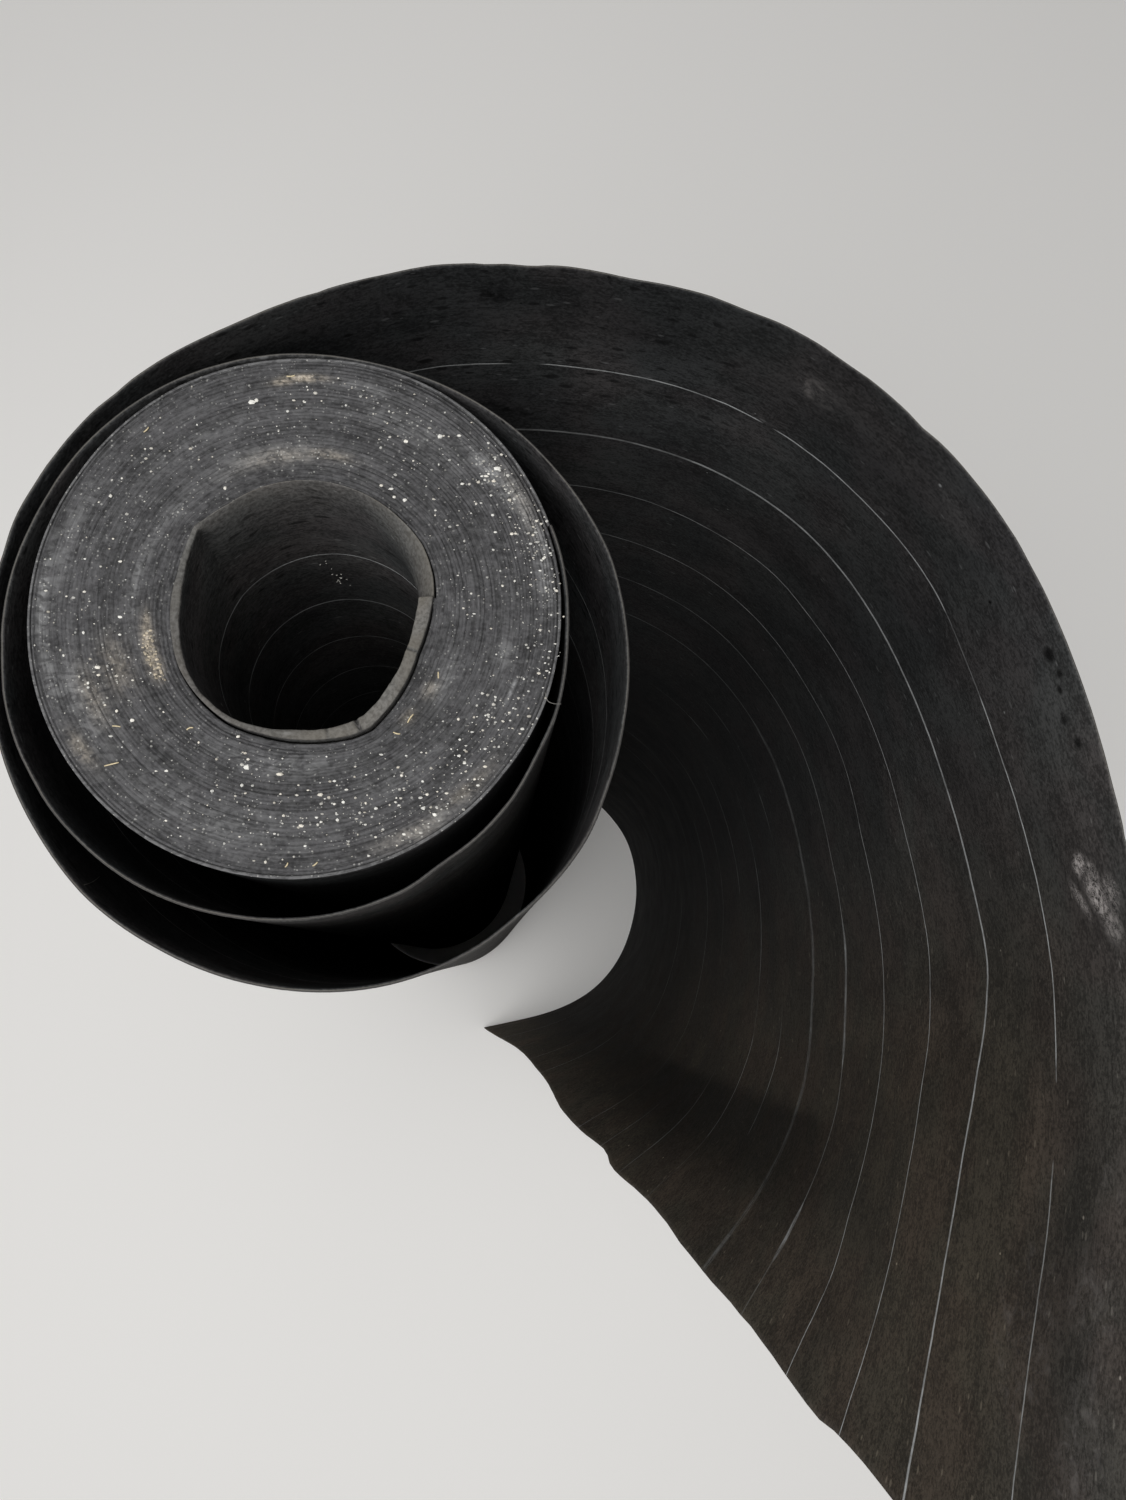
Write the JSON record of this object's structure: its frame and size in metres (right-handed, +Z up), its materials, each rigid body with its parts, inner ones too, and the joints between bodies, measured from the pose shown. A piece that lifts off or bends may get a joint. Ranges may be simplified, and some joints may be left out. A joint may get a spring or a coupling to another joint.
{
  "type": "roll of roofing felt",
  "caption": "Roll of bitumen roofing felt standing on its end, with an open bore, its outer turns sprung loose and the free end of the sheet swung out and leaning.",
  "frame": {"origin": "on the axis of the roll's bore, in the plane of the end that it stands on", "axes": "+Z up along the bore axis, +X towards the loop that the loose sheet makes, +Y square to both; the free end of the sheet is on the -Y side"},
  "size_m": [0.3474, 0.4412, 1],
  "materials": {
    "bitumen_felt": "matt black bitumen felt with fine lengthwise fibre, thin chalky lines and pale dust on the wound end"
  },
  "bodies": {
    "root": {"roofing_felt": "bitumen_felt"}
  },
  "joints": []
}
